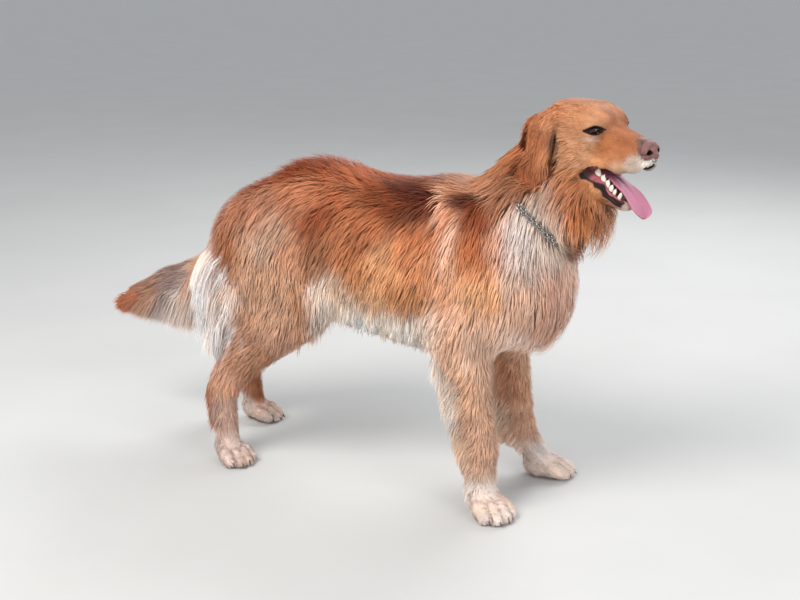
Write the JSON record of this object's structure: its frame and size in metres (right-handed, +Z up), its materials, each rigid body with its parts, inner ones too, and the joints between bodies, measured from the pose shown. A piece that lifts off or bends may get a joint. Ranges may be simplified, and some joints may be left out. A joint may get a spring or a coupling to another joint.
{
  "type": "dog",
  "caption": "Standing long-coated retriever, life size: head raised and turned to its right, mouth open with tongue out, tail low, chain collar.",
  "frame": {"origin": "on the floor under the middle of the coat's outline", "axes": "+X towards the dog's chest, +Y to its left, +Z up"},
  "size_m": [1.1746, 0.3234, 0.7493],
  "materials": {
    "coat_gold": "long wavy hair, golden",
    "coat_red": "long hair, red gold",
    "coat_pale": "long hair, pale gold",
    "coat_cream": "long hair, cream",
    "nose_leather": "moist, pebbled",
    "tongue_flesh": "wet",
    "eye": "wet, dark brown",
    "collar_chain": "worn bright steel"
  },
  "bodies": {
    "root": {"barrel": "coat_gold", "chest": "coat_cream", "collar": "collar_chain", "croup": "coat_red", "ear_left": "coat_red", "ear_right": "coat_red", "eye_left": "eye", "eye_right": "eye", "foreleg_left": "coat_gold", "foreleg_right": "coat_gold", "forepaw_left": "coat_cream", "forepaw_right": "coat_cream", "head": "coat_gold", "hindpaw_left": "coat_cream", "hindpaw_right": "coat_cream", "lower_jaw": "coat_pale", "neck": "coat_pale", "nose": "nose_leather", "shank_left": "coat_gold", "shank_right": "coat_gold", "shoulder_left": "coat_gold", "shoulder_right": "coat_gold", "tail": "coat_pale", "thigh_left": "coat_gold", "thigh_right": "coat_gold", "tongue": "tongue_flesh"}
  },
  "joints": []
}
